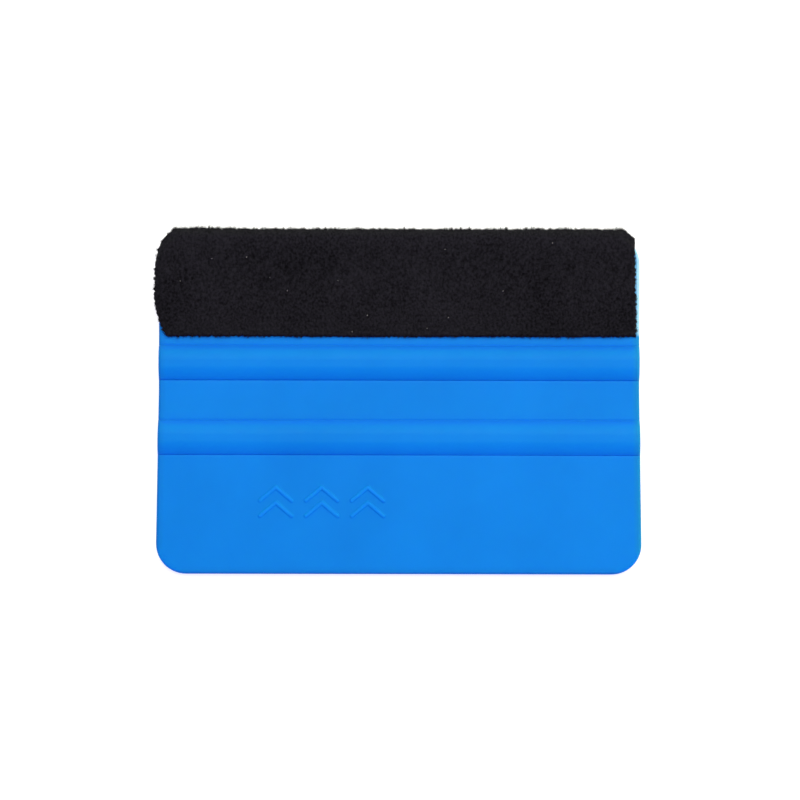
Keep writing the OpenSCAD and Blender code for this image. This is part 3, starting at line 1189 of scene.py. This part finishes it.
FILL_PLACE = (0.9, 0.0, 0.2)
FILL_SIZE = 0.4
FILL_POWER = 2.2
FILL_COLOUR = (1.15, 1.08, 0.7)

# Sky: its colour behind the tail and ahead of the felt, and its strength by height
SKY_BEHIND = (1.3, 0.42, 2.7)
SKY_AHEAD = (0.8, 1.48, 0.3)
HORIZON = 0.85
HORIZON_TOP = 0.14
AMBIENT = 0.24
AMBIENT_FROM = 0.22

FLOOR_REACH = 5000
FLOOR_DROP = 0.01
FLOOR_GLOW = 0.74


def add_camera():
    """A camera straight above the front face."""
    data = bpy.data.cameras.new("camera")
    data.sensor_width = 36
    data.lens = data.sensor_width * CAMERA_HEIGHT / PICTURE_W
    data.clip_start = 0.01
    camera = bpy.data.objects.new("camera", data)
    camera.location = (CAMERA_X, CAMERA_Y, middle_z * MM + CAMERA_HEIGHT)
    camera.rotation_euler = (0, 0, CAMERA_ROLL)
    bpy.context.scene.collection.objects.link(camera)
    bpy.context.scene.camera = camera


def add_light(name, place, size, power, colour):
    """A square soft light that faces the object."""
    data = bpy.data.lights.new(name, "AREA")
    data.size = size
    data.energy = power
    data.color = colour
    light = bpy.data.objects.new(name, data)
    light.location = place
    light.rotation_euler = (-Vector(place)).to_track_quat("-Z", "Y").to_euler()
    bpy.context.scene.collection.objects.link(light)


def add_world():
    """A dim sky, violet behind the tail and green ahead of the felt, brighter low down."""
    world = bpy.data.worlds.new("studio")
    world.use_nodes = True
    tree = world.node_tree
    background = tree.nodes["Background"]
    place = tree.nodes.new("ShaderNodeTexCoord")
    split = tree.nodes.new("ShaderNodeSeparateXYZ")
    fade = tree.nodes.new("ShaderNodeMapRange")
    fade.interpolation_type = "SMOOTHSTEP"
    fade.inputs["From Min"].default_value = HORIZON_TOP
    fade.inputs["From Max"].default_value = AMBIENT_FROM
    fade.inputs["To Min"].default_value = HORIZON
    fade.inputs["To Max"].default_value = AMBIENT
    tree.links.new(place.outputs["Generated"], split.inputs["Vector"])
    tree.links.new(split.outputs["Z"], fade.inputs["Value"])
    tree.links.new(fade.outputs["Result"], background.inputs["Strength"])
    tint = tree.nodes.new("ShaderNodeMix")
    tint.data_type = "RGBA"
    tint.inputs[6].default_value = (*SKY_BEHIND, 1)
    tint.inputs[7].default_value = (*SKY_AHEAD, 1)
    across = tree.nodes.new("ShaderNodeMapRange")
    across.inputs["From Min"].default_value = -1
    tree.links.new(split.outputs["Y"], across.inputs["Value"])
    tree.links.new(across.outputs["Result"], tint.inputs["Factor"])
    tree.links.new(tint.outputs[2], background.inputs["Color"])
    bpy.context.scene.world = world


def add_floor():
    """A wide, softly glowing white table, a hair's breadth below the card."""
    n = Nodes("pale_floor")
    n.set(Base_Color=(0.6, 0.6, 0.6, 1), Roughness=0.7, Specular_IOR_Level=0.2)
    n.set(Emission_Color=(1, 1, 1, 1), Emission_Strength=FLOOR_GLOW)
    turns = ((-1, -1), (1, -1), (1, 1), (-1, 1))
    corners = [(x * FLOOR_REACH, y * FLOOR_REACH, -FLOOR_DROP) for x, y in turns]
    floor = make_piece("floor", corners, [[0, 1, 2, 3]], n.material)


def toward(tilt, swing, distance):
    """A place in the direction tilt from straight up and swing from +Y towards +X."""
    flat = math.sin(tilt) * distance
    return (flat * math.sin(swing), flat * math.cos(swing), math.cos(tilt) * distance)


bpy.context.scene.view_settings.view_transform = "Standard"
add_camera()
add_world()
add_floor()
add_light("key_light", toward(KEY_TILT, KEY_SWING, KEY_DISTANCE), KEY_SIZE, KEY_POWER, KEY_COLOUR)
add_light("fill_light", FILL_PLACE, FILL_SIZE, FILL_POWER, FILL_COLOUR)

# ---- The object ----

blade = build_card(blade_plastic())
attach(blade, "root")
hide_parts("blade")

felt = build_felt(felt_pile())
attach(felt, "root")
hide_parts("felt_strip")

fibre = fuzz_fibre()
fuzz = [
    build_fuzz(
        "felt_face_fuzz", face_places, FACE_FIBRE_R, fibre,
        spare=0.08, longest=0.5, clumping=1.0, seed=5,
    ),
    build_fuzz(
        "felt_fold_fuzz", fold_fuzz_places, EDGE_FIBRE_R, fibre,
        spare=0.32, longest=1.05, clumping=0.55, seed=8,
    ),
    build_fuzz(
        "felt_edge_fuzz", edge_places, EDGE_FIBRE_R, fibre,
        spare=0.19, longest=0.8, clumping=1.0, seed=14,
    ),
]
for piece in fuzz:
    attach(piece, "root")

lint = build_lint(lint_fibre())
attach(lint, "root")

tape = build_tape(tape_adhesive())
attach(tape, "root")
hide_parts("adhesive_tape")
